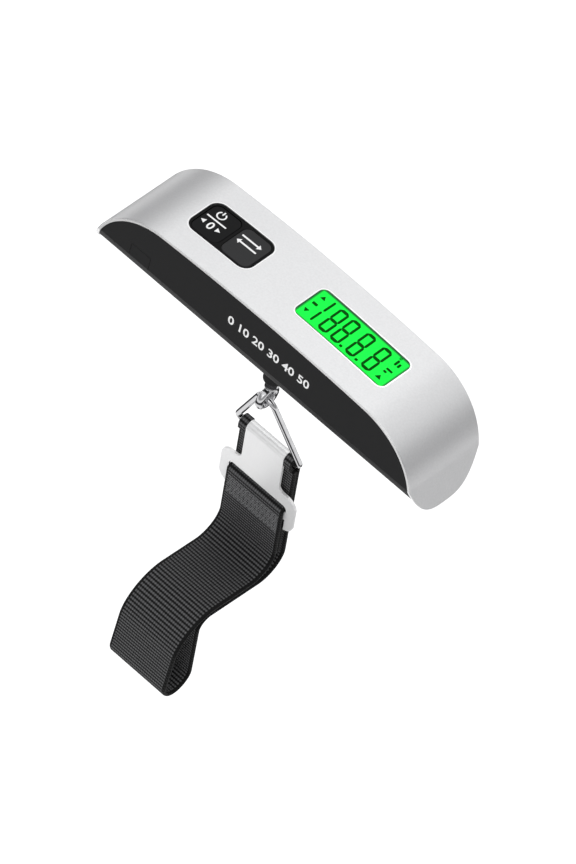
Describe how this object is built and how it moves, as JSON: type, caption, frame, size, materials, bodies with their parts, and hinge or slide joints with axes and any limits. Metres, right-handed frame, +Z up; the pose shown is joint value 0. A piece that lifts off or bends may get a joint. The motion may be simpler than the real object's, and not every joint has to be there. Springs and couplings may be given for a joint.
{
  "type": "digital luggage scale",
  "caption": "Arched hand-held hanging scale with a lit display and two keys over a swivel eye, a triangular ring and a hooked webbing sling.",
  "frame": {"origin": "middle of the belly's underside, where the fingers of the hand that lifts the handle pull up", "axes": "+X along the handle from the keys towards the display, +Y across it away from the battery door's tab, +Z up out of the display"},
  "size_m": [0.145, 0.0486, 0.178],
  "materials": {
    "satin_cover": "satin, bright-cut edges",
    "black_shell": "satin",
    "key_plastic": "semi-gloss",
    "display": "clear over a lit panel",
    "display_inner": "matte",
    "stem_plastic": "matte",
    "panel_glass": "clear",
    "panel_light": "diffuse",
    "rubber": "matte",
    "board": "solder mask",
    "screw_steel": "zinc plated",
    "cell_alloy": "machined",
    "lead_wire": "insulation",
    "coin_steel": "satin",
    "contact_brass": "plain",
    "bright_steel": "polished plate",
    "plate_steel": "bright satin",
    "webbing": "woven, ribbed"
  },
  "bodies": {
    "housing": {"top_cover": "satin_cover", "upper_shell": "black_shell", "belly_case": "black_shell", "button_frame": "key_plastic", "tact_switches": "display_inner", "lcd_window": "display", "lcd_frame": "display_inner", "lcd_glass": "panel_glass", "backlight": "panel_light", "zebra_strips": "rubber", "circuit_board": "board", "controller_chip": "display_inner", "board_screws": "screw_steel", "housing_screws": "screw_steel", "load_cell": "cell_alloy", "load_cell_screws": "screw_steel", "strain_gauges": "board", "gauge_leads": "lead_wire", "coin_cell": "coin_steel", "battery_holder": "display_inner", "holder_screws": "screw_steel", "battery_contacts": "contact_brass", "battery_leads": "lead_wire", "boss_bushing": "contact_brass"},
    "power_button": {"power_key": "key_plastic", "power_stem": "stem_plastic"},
    "unit_button": {"unit_key": "key_plastic", "unit_stem": "stem_plastic"},
    "door": {"battery_door": "black_shell"},
    "eye": {"hook_eye": "bright_steel", "thrust_washer": "screw_steel", "eye_nut": "screw_steel"},
    "ring": {"triangle_ring": "bright_steel"},
    "sling": {"webbing_strap": "webbing", "hook_plate": "plate_steel"}
  },
  "joints": [
    {"name": "power_press", "type": "slide", "parent": "housing", "child": "power_button", "axis": [0, 0, -1], "range_m": [0, 0.0006], "stiffness_N_per_m": 600, "springref_m": -0.001},
    {"name": "unit_press", "type": "slide", "parent": "housing", "child": "unit_button", "axis": [0, 0, -1], "range_m": [0, 0.0006], "stiffness_N_per_m": 600, "springref_m": -0.001},
    {"name": "door_pull", "type": "slide", "parent": "housing", "child": "door", "axis": [0, 0, -1], "range_m": [0, 0.012]},
    {"name": "eye_swivel", "type": "hinge", "parent": "housing", "child": "eye", "pos_m": [0, 0, -0.018], "axis": [0, 0, 1], "continuous": true},
    {"name": "ring_swing", "type": "hinge", "parent": "eye", "child": "ring", "pos_m": [0, 0, -0.01905], "axis": [1, 0, 0], "range_deg": [-45, 25]},
    {"name": "sling_swing", "type": "hinge", "parent": "ring", "child": "sling", "pos_m": [0, 0.01058, -0.04812], "axis": [1, 0, 0], "range_deg": [-25, 25]}
  ]
}
